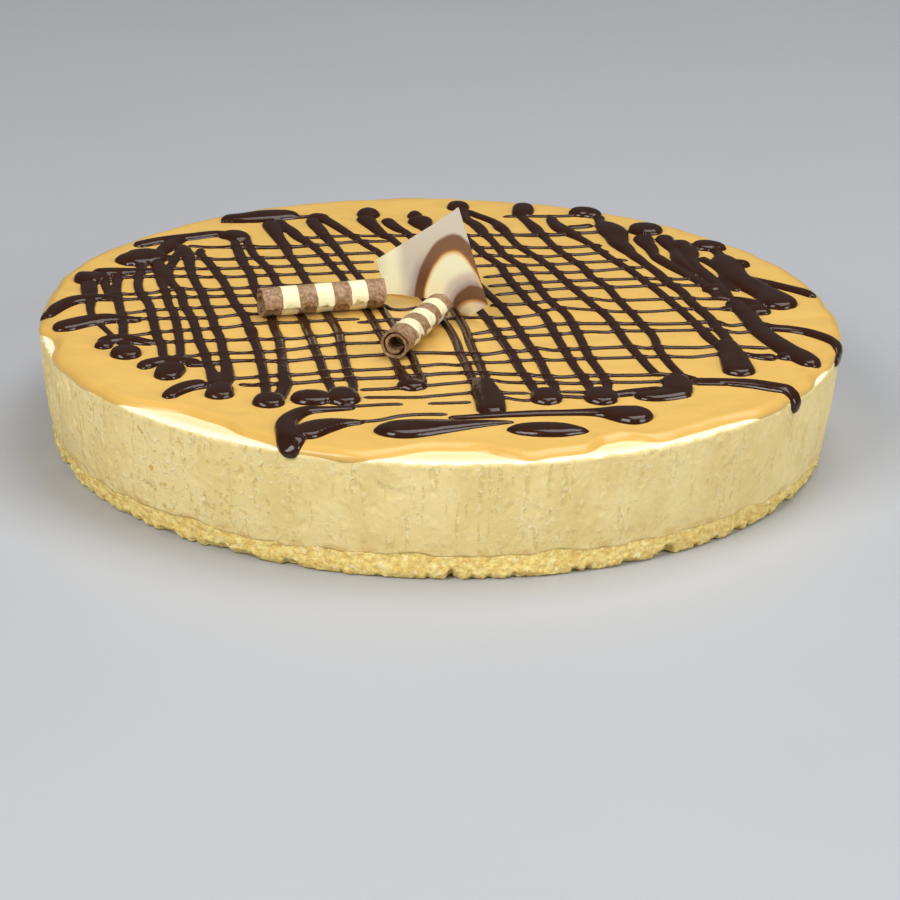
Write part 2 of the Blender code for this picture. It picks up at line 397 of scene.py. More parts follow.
filling = turned_body("filling_side", 1440, 60, filling_section)
points = points_of(filling)
height = points[:, 2]
inside = np.hypot(points[:, 0], points[:, 1]) < FOOT_RADIUS - 0.002
outward = points * (1.0, 1.0, 0.0) / np.hypot(points[:, 0], points[:, 1])[:, None]
depth = 0.00020 * lumps(points, 0.010, 1.6) + 0.00012 * lumps(points, 0.0028, 1.2, 7.0)
depth -= 0.00014 * smooth_step(-np.abs(lumps(points, 0.0042, 6.0)), -0.10, 0.0) * smooth_step(
    lumps(points, 0.014, 1.5, 3.0), -0.1, 0.4)
depth -= 0.00042 * smooth_step(lumps(points, 0.0034, 1.2, 11.0), 0.42, 0.60)
depth += 0.00020 * smooth_step(lumps(points, 0.0026, 1.0, 5.0), 0.30, 0.55)
fade = smooth_step(height, 0.0362, 0.0352) * ~inside
# The rim is chipped where the ring was lifted off
chipped = smooth_step(lumps(outward * RIM_RADIUS, 0.0046, shift=21.0), 0.05, 0.60)
chipped = 0.0005 * chipped * smooth_step(height, 0.0335, 0.0358) * smooth_step(height, 0.0368, 0.0364) * ~inside
move_points(filling, points + outward * (depth * fade - chipped)[:, None])

cheese_finish = Finish("cream_cheese", {"Specular IOR Level": 0.40})
across = cheese_finish.axis("X")
up = cheese_finish.axis("Z")
rim_wander = (cheese_finish.clouds(0.0045, detail=3.0, shift=18.0) - 0.5) * 0.0014
scraped = cheese_finish.between(up + rim_wander, 0.0366, 0.0361)
from_middle = cheese_finish.node("ShaderNodeVectorMath", {"operation": "MULTIPLY"},
                                 {0: cheese_finish.place, 1: (1.0, 1.0, 0.0)})
from_middle = cheese_finish.node("ShaderNodeVectorMath", {"operation": "LENGTH"}, {0: from_middle}, "Value")
left_part = cheese_finish.between(across, -0.020, -0.075)
patchy = cheese_finish.between(cheese_finish.clouds(0.013, detail=2.0, shift=30.0), 0.46, 0.64)
busy = left_part * 0.55 + patchy * 0.55
seams = cheese_finish.between(cheese_finish.clouds(0.0021, (1.0, 1.0, 12.0), 2.0, 1.0), 0.58, 0.66)
beads = cheese_finish.clouds(0.0012, (1.0, 1.0, 1.4), 3.0, 9.0)
# Where a seam's beads dip, its hollows are painted darker ochre: painted shade.
shaded_hollow = seams * cheese_finish.between(beads, 0.55, 0.46)
raised = seams * cheese_finish.between(beads, 0.50, 0.60)
pits = cheese_finish.between(cheese_finish.clouds(0.0021, (1.0, 1.0, 1.3), 3.0, 6.0), 0.60, 0.69) * (0.25 + busy * 0.75)
curds = cheese_finish.between(cheese_finish.clouds(0.0018, detail=4.0, shift=12.0), 0.54, 0.66) * (0.35 + busy * 0.65)
tone = cheese_finish.between(cheese_finish.clouds(0.012, (1.0, 1.0, 1.4), 4.0, 15.0), 0.34, 0.66)
joint = cheese_finish.between(up + (cheese_finish.clouds(0.008, shift=27.0) - 0.5) * 0.004, 0.0098, 0.0080)
joint = joint * cheese_finish.between(cheese_finish.clouds(0.006, detail=3.0, shift=24.0), 0.46, 0.60)
side_colour = cheese_finish.mix(tone, (0.795, 0.615, 0.245), (0.870, 0.705, 0.320))
side_colour = cheese_finish.mix(curds * 0.50, side_colour, (0.96, 0.87, 0.53))
side_colour = cheese_finish.mix(raised * 0.34, side_colour, (0.96, 0.88, 0.55))
# Painted shade in the seams' hollows.
side_colour = cheese_finish.mix(shaded_hollow * 0.52, side_colour, (0.68, 0.48, 0.140))
side_colour = cheese_finish.mix(pits * (0.50 + left_part * 0.35), side_colour, (0.66, 0.41, 0.090))
side_colour = cheese_finish.mix(joint * 0.55, side_colour, (0.68, 0.43, 0.120))
# The rim's top is paler than the side, golden by the caramel and palest at its rounded edge: partly the smooth cream's
# own tone, partly painted light from above and a painted highlight.
rim_tone_and_highlight = cheese_finish.mix(cheese_finish.between(from_middle, 0.1195, 0.1232), (0.96, 0.82, 0.44), (0.98, 0.94, 0.68))
colour = cheese_finish.mix(scraped, rim_tone_and_highlight, side_colour)
side_relief = cheese_finish.clouds(0.0020, (1.0, 1.0, 1.3), 5.0) * 0.7 + curds * 0.35 + raised * 0.15 - shaded_hollow * 0.15 - pits * 0.3
cheese_finish.show({
    "Base Color": colour,
    "Roughness": 0.30 + 0.28 * scraped,
    "Normal": cheese_finish.relief(side_relief * scraped, 0.0005),
})
filling.data.materials.append(cheese_finish.made)
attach(filling, "root")
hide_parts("filling")


# ---- Caramel ----
# A glossy caramel poured over the middle and spread almost to the rim. It ends in a soft rounded
# lip, stops short in a few bays and runs a little over the edge in between.

CARAMEL_THICKNESS = 0.0020
CARAMEL_REACH = 0.1252
CARAMEL_LIP = 0.0038
# Where it stops short, or runs over with a depth below nothing: bearing, depth, half width in degrees
BAYS = (
    (-165.5, 0.0034, 4.2), (-126.5, 0.0090, 9.5), (-114.0, 0.0024, 4.0), (-88.0, 0.0098, 8.0),
    (-72.0, 0.0026, 4.0), (-64.0, 0.0084, 4.2), (-54.0, 0.0032, 6.5), (-45.0, 0.0024, 4.5), (-32.5, 0.0010, 2.2),
    (-21.0, 0.0018, 3.6), (24.0, -0.0006, 7.0), (71.0, -0.0004, 9.0), (118.0, -0.0006, 6.0), (160.0, -0.0010, 8.0),
)
edge_wave = waves(6, (3, 7, 11, 19, 31, 47))


def caramel_edge(bearing):
    """How far the caramel reaches."""
    reach = CARAMEL_REACH + 0.0004 * edge_wave(bearing)
    for bay, depth, half_width in BAYS:
        off = (np.degrees(bearing) - bay + 180.0) % 360.0 - 180.0
        reach = reach - depth * np.exp(-np.abs(off / half_width) ** 3)
    return reach


def caramel_swell(x, y):
    """The slow waves that the spreading knife left in the caramel's top."""
    spots = np.stack((x, y, np.zeros_like(x)), axis=1)
    return 0.00020 * lumps(spots, 0.021, shift=1.0) + 0.00013 * lumps(spots, 0.009, shift=8.0)


def caramel_top(x, y):
    """Height of the caramel's surface above the filling, nothing past its edge."""
    inset = caramel_edge(np.arctan2(y, x)) - np.hypot(x, y)
    share = np.clip(inset / CARAMEL_LIP, 0.0, 1.0)
    return CARAMEL_THICKNESS * (1.0 - (1.0 - share) ** 2.3) + caramel_swell(x, y) * smooth_step(inset, 0.0, 0.006)


UNDER_ROWS = ((0.0, 0.030), (0.04, 0.004), (0.08, 0.0008), (0.10, 0.0))
OVER_ROWS = ((0.10, 0.0), (0.13, 0.0001), (0.16, 0.0004), (0.20, 0.0010), (0.25, 0.0020), (0.30, 0.0034),
             (0.60, 0.030), (1.0, 0.120))


def caramel_section(share, bearing):
    edge = caramel_edge(bearing)
    under = np.interp(share, *zip(*UNDER_ROWS))
    over = np.interp(share, *zip(*OVER_ROWS))
    below = on_filling(edge - under, -GAP * (1.0 - np.exp(-under / GAP)))
    reach = np.maximum(edge - over, 0.002)
    above = on_filling(reach, caramel_top(reach * np.cos(bearing), reach * np.sin(bearing)))
    return tuple(np.where(share < 0.1 - 1e-4, low, high) for low, high in zip(below, above))


caramel = turned_body("caramel_top", 900, 90, caramel_section)
caramel_finish = Finish("caramel", {"Roughness": 0.30, "Specular IOR Level": 0.42, "Coat Weight": 0.10,
                                    "Coat Roughness": 0.10})
pooled = caramel_finish.clouds(0.030, detail=2.0)
along = caramel_finish.node("ShaderNodeAttribute", {"attribute_name": "along_section"}, output="Fac")
near_rim = caramel_finish.between(along, 0.36, 0.22)
thin_edge = caramel_finish.between(along, 0.145, 0.108)
caramel_colour = caramel_finish.mix(pooled, (0.80, 0.485, 0.112), (0.86, 0.545, 0.145))
caramel_colour = caramel_finish.mix(near_rim * 0.80, caramel_colour, (0.70, 0.420, 0.098))
caramel_colour = caramel_finish.mix(thin_edge * 0.45, caramel_colour, (0.90, 0.70, 0.30))
caramel_height = caramel_finish.clouds(0.010, detail=1.0, shift=3.0)
caramel_finish.show({"Base Color": caramel_colour, "Normal": caramel_finish.relief(caramel_height, 0.0005)})
caramel.data.materials.append(caramel_finish.made)
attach(caramel, "root")
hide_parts("caramel_layer")


# ---- Chocolate drizzle ----
# Dark chocolate poured from a spoon in one zigzag towards the front and back, then in a second,
# thinner one across it. The strands sink together where they cross and end in thick round drops.

MM = 0.001
DRIZZLE_CELL = 0.00037
DRIZZLE_TALLEST = 0.0026  # no drop stands higher than this
DRIZZLE_FACES = 196000
# The upright section of a strand one wide from its middle to its side
STRAND_SECTION = ((1.0, -0.14), (0.97, 0.08), (0.88, 0.26), (0.70, 0.42), (0.45, 0.53), (0.18, 0.58),
                  (-0.18, 0.58), (-0.45, 0.53), (-0.70, 0.42), (-0.88, 0.26), (-0.97, 0.08), (-1.0, -0.14),
                  (-0.85, -0.34), (0.85, -0.34))
# First pour, in mm: a width, then the points the strand runs through, some with their own width
FIRST_POUR = (
    (5.8, (-112.6, 24, 5), (-112.3, 20), (-111.6, 14.5), (-110.8, 9, 5), (-110, 2.5, 3.6), (-109.4, -4, 3),
     (-108, -10, 3), (-105.5, -16, 2.6), (-102.6, -23, 2.4), (-99, -31, 2.6), (-96.5, -36, 3)),
    (3.2, (-107.7, 28), (-107.3, 22), (-105.8, 15), (-104.5, 9)),
    (3.4, (-103.5, 33), (-103.6, 25), (-102.9, 15), (-101.2, 3.3), (-98.3, -15), (-97, -27), (-95, -38)),
    (3.4, (-97.5, 43, 4.4), (-96.8, 36), (-97, 25), (-95.5, 15), (-91.8, 3.3), (-89.5, -10), (-86.7, -27),
     (-84.7, -35), (-83.3, -45), (-80, -56)),
    (3.2, (-86, 71, 5), (-88.5, 66.5, 5.5), (-90.6, 60.5, 6), (-92.4, 54, 5), (-93, 47, 5), (-90.5, 35, 5),
     (-89.7, 25), (-87.3, 15), (-85.5, 3.3), (-83.3, -5), (-80.3, -25), (-78.3, -45), (-79.5, -56)),
    (3.4, (-85.6, 64), (-85.8, 57, 4.2), (-86.7, 51, 4.2), (-87.5, 45), (-88, 35), (-86.3, 25), (-82.5, 15),
     (-80.8, 3.3), (-77.7, -8), (-75.3, -20), (-73.3, -31.7), (-71, -42), (-69.7, -50), (-68.4, -56, 3.6),
     (-67, -63, 4.6), (-65.5, -71, 5.5)),
    (3.4, (-84.3, 61), (-83.3, 55, 4.2), (-82.4, 48, 4.2), (-80.7, 35), (-78.5, 25), (-75.8, 15), (-73.7, 3.3),
     (-71.3, -7), (-69.7, -17), (-67.3, -27), (-66, -37), (-64.7, -46), (-63.5, -55, 4.2), (-62.8, -64, 4.6),
     (-63.5, -73)),
    (3.4, (-79.2, 60), (-79, 55), (-75.3, 45), (-72.3, 35), (-69.3, 25), (-67, 15), (-64.2, 3.3), (-61.3, -6),
     (-59.3, -16), (-58.3, -20, 4.4), (-57, -28), (-55.3, -37), (-54, -46), (-51.6, -65), (-50.3, -80)),
    (3.4, (-69.3, 73), (-68.2, 65), (-66.6, 57, 4), (-64.5, 46, 3.8), (-61.5, 35), (-60, 25), (-57, 10), (-54, 0),
     (-52.3, -9), (-51.3, -17), (-49.3, -27), (-48.3, -37), (-47.3, -46), (-46.2, -60, 4.2), (-45.4, -68, 4.6),
     (-47, -82, 4.6)),
    (3.3, (-65.3, 73), (-63.8, 65), (-61.4, 55), (-57.6, 45), (-54.5, 35), (-52.2, 25), (-47.5, 8), (-42.7, -8),
     (-41.3, -17), (-39.3, -27), (-37.7, -37), (-36, -46), (-34.3, -57), (-32.3, -67), (-30.7, -75)),
    (3.3, (-58.5, 91, 6.4), (-57.2, 85, 6.2), (-55.8, 79, 5.4), (-54.5, 74, 4.8), (-53, 69, 4.6), (-51.8, 65, 4.2),
     (-49.9, 55), (-47, 45), (-44.7, 35), (-42.3, 25), (-37.5, 5), (-31.7, -18), (-29.7, -37), (-28.3, -47),
     (-27, -57), (-25.3, -67), (-26, -78)),
    (3.0, (-56, 93, 4.6), (-53.2, 87, 4.6), (-50.2, 81, 4.8), (-48, 75.5, 4.6), (-45, 70, 4), (-42.2, 64.5, 3.4),
     (-39, 56), (-36, 47), (-31.3, 32), (-24, 5), (-18, -22), (-12.7, -48), (-11, -57, 4.2), (-9, -66)),
    (3.0, (-44.5, 96, 5.4), (-42.7, 88, 5.2), (-41, 83, 5), (-39.6, 78, 4.6), (-37.5, 72, 4), (-34.6, 63, 3.4),
     (-32, 54), (-29, 43), (-24, 25), (-14, -14), (-8, -42), (-6.7, -52), (-4.7, -62), (-6, -68)),
    (3.2, (-41, 97, 5), (-36.9, 90, 4.5), (-34.2, 85, 4.2), (-31.6, 80, 3.8), (-28, 73.5), (-24, 66), (-20, 58.3),
     (-10, 30), (1, -7), (4.8, -24), (6.7, -39), (8.3, -47), (9.3, -55), (11, -65)),
    (3.2, (-27, 99, 7.4), (-25.5, 94, 6.6), (-23.3, 88, 5.4), (-21.3, 83, 4.6), (-19.2, 78.3, 4), (-15.3, 71.7),
     (-5, 40), (6.5, -7), (9.5, -28), (12, -44), (13.1, -52), (14.0, -58), (14.2, -66)),
    (3.3, (-19.5, 97, 5), (-17, 90.3, 5), (-14.2, 85, 4.4), (-11.5, 81), (-3, 55), (5, 27), (13.4, 0), (18.2, -20),
     (22.4, -38), (24, -48), (26.4, -58), (28.4, -67), (30.7, -75)),
    (3.3, (-8.5, 99, 9.6), (-7.8, 95, 9), (-6.6, 90, 6.4), (-5, 85, 4), (3, 60), (12, 30), (15, 20), (18.5, 10),
     (21.4, 0), (25.7, -20), (29.7, -38), (31.4, -48), (33, -58), (34.7, -67), (32.7, -75)),
    (3.3, (0, 97), (5, 85), (10, 72), (14, 60), (18.7, 50), (20.9, 40), (23.4, 30), (26.2, 20), (28.9, 10),
     (32.7, 0), (36.2, -20), (39.4, -38), (41, -47), (43, -55), (44.4, -62), (46.7, -73)),
    (3.3, (5.2, 113, 5), (7.4, 100, 4), (10.9, 92.5, 4.8), (13, 86, 4.6), (14, 82, 3.6), (16, 77), (18, 70),
     (20.7, 60), (25.4, 50), (28.4, 40), (30.9, 30), (33, 20), (36.2, 10), (40, 0), (43.2, -20), (45.7, -38),
     (47.7, -47), (49.4, -55), (50.4, -63), (48.7, -74)),
    (3.3, (7.5, 108.5), (12, 102.5, 4), (17.3, 96, 4), (19.4, 90, 5), (21.2, 85, 4), (22.4, 79.5), (25.5, 70),
     (30.7, 60), (35, 50), (38.4, 40), (41.7, 30), (45.2, 20), (48.7, 10), (52.5, 0), (54, -7), (55.5, -14),
     (57.2, -22), (59.2, -30), (61.2, -37), (63.2, -45), (66.2, -54)),
    (3.3, (26, 104), (28.3, 98, 4), (30.8, 91, 5), (32.4, 85.5, 4.4), (34.4, 79.5), (37.2, 70), (41.2, 60),
     (45.9, 50), (48.5, 40), (53.1, 30), (55.7, 20), (58.4, 10), (61.4, 0), (63, -7), (65.2, -14), (66.4, -20),
     (67, -28), (68.4, -36), (70.2, -44), (73, -53)),
    (3.4, (36.3, 103, 4), (37.3, 97, 4.8), (39.5, 91, 6), (42.3, 86, 5.6), (45.4, 80.5, 4), (49.5, 73), (53, 65),
     (58, 54), (62.4, 45), (66.2, 35), (69.8, 26.3), (73.8, 14), (77.8, 2.3), (80, -5.3), (81.7, -11.3, 4),
     (83.2, -17.3, 4.4), (86, -25)),
    (4.0, (52.8, 106, 4), (53.3, 99, 4.6), (55, 94, 8), (57, 88, 10), (58, 82, 8.6), (58.6, 76, 7.4), (60.6, 70, 6.4),
     (62.3, 65, 4.8), (64.2, 60, 4.8), (66.3, 55), (70.4, 45), (73.4, 35), (77.2, 26.3), (80.1, 14), (84.4, 1.7),
     (86.2, -8), (88, -15), (89.5, -24)),
    (3.8, (66.5, 84, 8), (67.4, 77, 6.4), (69.2, 70, 5.2), (69.7, 65, 4.2), (71.2, 60, 5), (74.6, 53, 4.6),
     (79, 45, 4), (83.2, 37), (86.5, 29), (89.3, 20)),
    (5.5, (73.5, 84, 7), (75, 76, 6), (76.8, 69, 4.4), (77.2, 62, 5), (78.2, 56, 5), (80.8, 50, 4), (84, 43, 3.5)),
    (5.0, (80.5, 74, 7), (81.5, 66, 7), (81.5, 60), (83, 52), (86.5, 42), (90, 30), (91.5, 20)),
    (3.6, (88.5, 77, 6), (91.3, 67, 4), (92.5, 59, 9), (93.8, 51, 10), (94.8, 45, 9.6), (96.4, 39, 9.6),
     (99, 34.5, 10), (102.1, 29, 9.6), (104.8, 24, 10.6), (107, 18, 12.8), (108.4, 11, 12.4)),
    (4.4, (85, 62), (88.3, 55, 3.4), (91.2, 48, 4), (91.6, 41, 3.6), (93.2, 34, 3), (95, 28.5, 3)),
    (6.6, (92, 18, 6), (95.4, 9.5, 7), (97.1, 2, 6.8), (98.8, -8, 7), (102.2, -18, 7.8), (106.7, -28, 8.4),
     (110.8, -35, 8.6), (114.2, -42, 7)),
    # Front ends and drops
    (10.4, (-94.8, -38, 9.5), (-94.9, -49)),
    (6.0, (-101.5, -34), (-102.8, -40.3)),
    (9.6, (-79.8, -53), (-80.3, -59, 9.4), (-81.5, -66.4, 8)),
    (10.0, (-64.2, -69, 7.5), (-64.4, -82)),
    (10.8, (-49.2, -77, 9), (-49.8, -88.4)),
    (11.4, (-29, -71, 8), (-28, -77.5, 10.5), (-27.7, -84.8)),
    (11.0, (-31, -79.8), (-43.4, -80.2)),
    (10.8, (-8.2, -62, 8), (-7.6, -71.4)),
    (9.4, (12.5, -60, 6), (14.0, -70, 9), (15.4, -80), (15.8, -90, 9)),
    (10.2, (31.5, -68, 9), (32.2, -80.6)),
    (10.8, (48, -66, 9), (48.3, -79.5)),
    (9.5, (70.5, -54, 8.5), (71.3, -63), (70, -70.3, 11)),
    (7.6, (75, -67), (64.5, -71.8), (58, -72, 4)),
    (8.0, (87.2, -21), (89, -30), (90, -40, 9.8), (91, -52, 11)),
    (7.0, (107, -33), (103.5, -35.5)),
    # Turns at the back and on the left
    (7.0, (-106.5, 46), (-101, 46.5, 12), (-96, 49, 14), (-89, 49.5, 9)),
    (6.0, (-104, 43), (-97, 44.5, 5)),
    (5.5, (-101.3, 61.6), (-96.5, 65.6), (-91, 69), (-83, 72.7), (-75, 76.4, 5.2), (-69, 74)),
    (7.0, (-74, 73), (-69, 74.5, 9), (-66, 68)),
    (6.4, (-111.5, 31, 5), (-110, 33), (-104, 34), (-98, 35.2, 4.4), (-93, 35.5, 3)),
    (9.0, (-117, 23.5), (-114, 25.5, 13), (-111, 27.5), (-106, 29, 5)),
    (5.4, (-122.6, -12, 3.6), (-121.2, -6), (-118.6, 0, 6), (-115.3, 4.6, 6.4), (-108.5, 7.6, 5.4), (-100, 8, 3.4)),
    (8.4, (-117.6, -24.6, 6), (-115.5, -20.8), (-110, -15.8), (-103.5, -12.8, 7.4), (-98, -12.6, 5.4),
     (-92.7, -13.3, 4)),
    (6.4, (-103.5, -36, 5), (-101, -32.8), (-96.5, -31), (-91, -33, 5.4), (-86.5, -34.2, 3.4)),
    (5.6, (-88.2, -57.4, 5.4), (-87.6, -53.4, 6), (-84.2, -50.6), (-80, -49.6), (-71.5, -50.8, 4.4)),
    (6.8, (-79.4, -82.3, 4.6), (-77.8, -77.4, 6), (-74, -72.2), (-68.4, -68.6)),
    (8.5, (-75, 93, 7), (-67, 94), (-60, 96.5, 10), (-53, 98.5), (-48.5, 98, 5)),
    (6.5, (-46, 97), (-42, 97), (-39, 95)),
    (10.6, (-29.5, 101.8), (-21.5, 102)),
    (9.0, (-12.4, 101.3), (-7, 102)),
    (8.0, (4.7, 117), (5, 108)),
    (8.0, (27, 117, 7), (27, 110), (26, 103, 6)),
    (9.0, (42.5, 108.5), (49, 108.5), (52, 104, 6)),
    (3.4, (41, 92.2), (45.5, 93.2), (50.5, 96)),
    (13.0, (62.5, 88.5), (68, 90), (72.5, 86.5, 10)),
    (9.0, (82.5, 75), (89, 74.5), (94, 72.5, 6)),
    (8.0, (78.5, 79), (79.5, 69)),
    (9.0, (96.5, 58.5, 10), (97, 52)),
    (8.0, (86, 33), (88.5, 26.5)),
)
# Second pour, across the first
SECOND_POUR = (
    (2.0, (-75, 90), (-60, 94), (-45, 98), (-39, 97)),
    (2.1, (20, 103), (27, 104), (34.8, 104.2), (41, 105), (49.7, 107)),
    (1.9, (-47, 74.5), (-38, 76), (-30, 77.6), (-20, 78.8), (-10, 79.6), (8, 80.6), (19.9, 82), (29.8, 83, 2.8),
     (38, 83.8, 2.6), (47, 86.6, 2.4), (54, 88.5)),
    (2.1, (-84, 63.4), (-78, 62.3), (-72.7, 62.6), (-66, 62.6, 2.8), (-58, 63.2, 2.8), (-50, 64.6, 2.4), (-40, 67),
     (-30, 71), (-18, 73)),
    (2.1, (-97, 50), (-90, 50.2), (-74.7, 49.8), (-66, 50.8), (-60, 51.6), (-50, 53.2), (-40, 55.9), (-30, 58.1),
     (-20, 60.5)),
    (2.0, (-101, 37), (-95, 36.3), (-90, 38.7), (-76.7, 39.3), (-63.3, 41.3), (-50, 43.7), (-40, 46.3),
     (-31.3, 48.7), (-22, 51)),
    (2.0, (-112, 25), (-102, 29), (-87.3, 30.6), (-73.3, 31), (-60, 33), (-50, 34.9), (-40, 37), (-31.3, 38.7),
     (-20, 41)),
    (2.0, (-114, 5), (-102, 11.7), (-94.7, 13), (-83.3, 18.3), (-73.3, 18.3), (-60, 21.7), (-43.3, 25.2),
     (-31.3, 28.5), (-18, 30)),
    (2.0, (-107, 6), (-99.3, 7), (-86.7, 10.3), (-73.3, 11.3), (-60, 13.7), (-45, 16)),
    (1.9, (-101, -8), (-90, -3), (-80.7, -1), (-70, 1.5), (-58, 4), (-46, 6)),
    (2.0, (-97, -12.5), (-90, -11.3), (-75, -10.2), (-70, -8.8), (-62, -5.4), (-50, -2.6)),
    (2.0, (-99, -31), (-94, -27), (-84.7, -23), (-74.7, -20.5), (-65.3, -17.5), (-55.3, -13.5), (-40, -10.1),
     (-25, -6.8)),
    (2.0, (-92, -32.3), (-83.3, -32.7), (-73.3, -30.8), (-60, -28.7), (-46.7, -27.6), (-40, -25.4), (-30, -22),
     (-15, -17.8)),
    (2.0, (-84, -47.5), (-76.7, -45.5), (-66, -42), (-55.3, -40.6), (-43.3, -36.4), (-30, -31), (-12, -27.8)),
    (2.2, (-76, -53.6, 3), (-70, -52.2, 3), (-60, -48.3), (-46.7, -47.8), (-38, -44.8), (-27.3, -42.4),
     (-17.3, -40), (-4, -37.3), (6.7, -37.4), (13.3, -37.6), (20, -34.8), (25, -34.2), (30, -31.3), (35, -32.6),
     (40, -31.2), (50, -29.2), (58, -27.7), (64, -28.7), (68, -27.6), (75, -27.4), (80, -27), (84, -25.3),
     (88, -24.3), (93, -26), (101, -26.6)),
    (2.0, (-64, -66), (-60, -64), (-50, -61.4), (-40, -59), (-29.3, -55.4), (-14, -52), (-4, -49), (0.7, -47.4),
     (6.7, -47.9), (10, -45.6), (20, -44.1), (28, -42.1), (36, -41.6), (42, -40.1), (50, -38.6), (58, -37.1),
     (64, -36.6), (70, -36.1), (77, -36.1), (84, -33.5), (89, -32.4), (94, -33.2, 2.8), (98, -34.8, 4),
     (103, -35, 5.6)),
    (2.2, (-59.3, -68.8), (-54.7, -69.4), (-43.3, -67.2), (-33.3, -64), (-23.3, -61.7), (-12.7, -60), (-4, -57.4),
     (0.7, -55.8), (9, -54.9), (20, -54.9), (26, -55.3), (36, -56.8), (43, -55.3), (50, -54.2), (58, -53.7),
     (66, -52.8), (73, -53), (78, -56)),
    (2.0, (-23.3, -71.5), (-12, -69.4), (-2, -66), (8, -63), (16.7, -60.8), (20.7, -62.1), (36, -62), (42, -61.8),
     (50, -60.3), (58, -59.7), (67, -58.7), (76, -59)),
    (1.9, (-22, -77.6), (-7, -76.9), (0, -74.8), (10, -72.1), (20.7, -71.3), (27, -71)),
    (1.9, (-38, -88.6), (-30, -87), (-21.3, -84.6), (-10, -83)),
    (1.8, (-3, -81.8), (4, -81), (10, -80)),
    (1.8, (16, -75.3), (20, -75.6), (25.3, -77.3), (30, -76)),
    (2.0, (36, -69.5), (42.7, -69.3), (46, -70)),
    (2.2, (35, -73.2), (42, -73.8), (46, -73)),
    (4.5, (49, -72, 3), (56, -69.5), (67, -65.5)),
    (2.0, (-22, 8), (-17.3, 5.7), (-15.3, 3), (-11.3, 3), (-6, 6)),
    (2.0, (-26, -10.3), (-21, -9.3), (-16, -7.4), (-11, -6.2)),
    (1.9, (2, -5), (6.7, -3.7), (18, -3.3), (22, -3), (26, -1), (30.7, 1.5), (33.3, 5.2), (38.7, 7.5), (43, 7),
     (48, 6.3), (54, 5.3), (60, 5.4), (68, 7), (74, 8.4), (80, 9.4), (88, 10.4), (95, 11)),
    (2.0, (5, 67), (12, 67.3), (20, 68.7), (29.8, 69.4), (40, 69.8), (47, 71.4), (53, 73)),
    (2.0, (5, 58), (14, 59), (26, 60), (33, 60), (40, 61.7), (49, 64), (55, 66.5)),
    (2.0, (3, 47), (12.7, 48.7), (25, 50), (35, 51.5), (44, 54), (53, 56), (61, 58)),
    (2.0, (13.3, 37.7), (20, 39.5), (28, 42), (36, 43), (42, 44), (50, 46), (58, 48.5), (66, 51)),
    (2.0, (14.7, 28.3), (24, 31), (32, 33), (40, 35), (50, 37), (58, 38), (66, 39.5), (76, 39.5), (84, 41)),
    (2.0, (17.3, 19.3), (24, 22), (29, 23.5), (33, 25.3), (40, 27.8), (46, 28.3), (56, 29.8), (64, 31.4), (68, 33),
     (75, 33.5), (84, 33.5)),
    (2.0, (15.3, 8.6), (20, 9.3), (28, 11.3), (36.7, 15.6), (42, 17.3), (49, 17.2), (53, 16), (58, 16.8),
     (64, 17.7), (70, 18.9), (76, 19.9), (84, 20.2), (92, 20.5, 3.5), (98, 17.5, 5), (101.5, 11.5, 5.5)),
    (5.0, (88, 10.2, 2.8), (94, 10.8), (100.5, 9, 7), (103.6, 6.5, 6)),
    (2.2, (10, -19), (15, -16.3), (20, -13.8), (28, -11.8), (35, -8.4), (42, -7), (50, -6.7), (60, -6.2),
     (70, -5.6), (80, -3.6), (86, -2.6), (90.5, -5.6), (95, -4)),
    (2.0, (8, -26), (14, -23.8), (20, -21.8), (28, -19.2), (36, -17.7), (45, -14.7), (52, -14.6), (56, -13.1),
     (65, -12.6), (72, -11.6), (80, -10.6), (86, -10.1), (92, -12.4), (98, -11)),
    (4.6, (96.5, 41, 6), (100.7, 39.4), (106.5, 36), (112, 32), (116.7, 28), (119.6, 24, 3)),
    (4.8, (99, -4), (103.3, -7.4), (109, -8.4), (113.8, -10.2), (118.6, -14.4), (121.6, -18.8, 4.4),
     (122.8, -22.4, 4), (122.9, -26.5, 3.4), (121.6, -30.5, 2.4)),
    (2.6, (75.3, -57), (79.8, -57.1, 3.4), (87.2, -58.2, 5.2), (94.6, -59.5, 6.2), (100.4, -62, 6.2),
     (104.4, -63.8, 5.8), (106.4, -65.4, 5.2), (107.8, -67.0, 4.4), (108.8, -68.4, 3)),
    (2.2, (76, -59.6), (81, -59.8), (87, -59.5)),
    # The long strokes at the front, and the run over the rim
    (6.4, (-24, -87, 2.2), (-28, -87.8, 3.2), (-34, -89, 4), (-38.8, -91, 5.6), (-42, -95.8), (-43.4, -102, 7),
     (-42.2, -109, 8.4), (-41.4, -114.5, 8.2), (-40.8, -119.4, 5.6)),
    (8.0, (-21, -98.6, 2.6), (-26, -99.6, 5), (-31, -102, 8.4), (-35.5, -106, 10), (-39.5, -112.5, 9)),
    (2.0, (-29, -98.8, 3), (-21.3, -97.8), (-16.7, -96.4), (-11.3, -93.2), (-4.7, -90.8), (3, -90.4)),
    (3.6, (3, -93, 2.2), (9.5, -92.4, 3), (18.2, -90.6), (29.9, -88.3, 3.8), (41.6, -87, 4.2), (47.5, -86.6, 6),
     (52, -87.2, 10), (57, -88.6, 13), (63, -89.3, 12)),
    (12.0, (-18.3, -105.5, 5), (-14, -105.4, 10.5), (-9.5, -104.8, 12.5), (-4, -103.2, 11.5), (2, -101.2, 9),
     (9, -99.2, 6), (16, -97.2, 3.6), (22.5, -96, 1.6)),
    (11.0, (20, -102, 2.4), (24, -102.3, 7), (30, -102.5, 9.8), (36, -102.3, 9.2), (41, -102, 5.4), (44, -101.7, 2)),
)


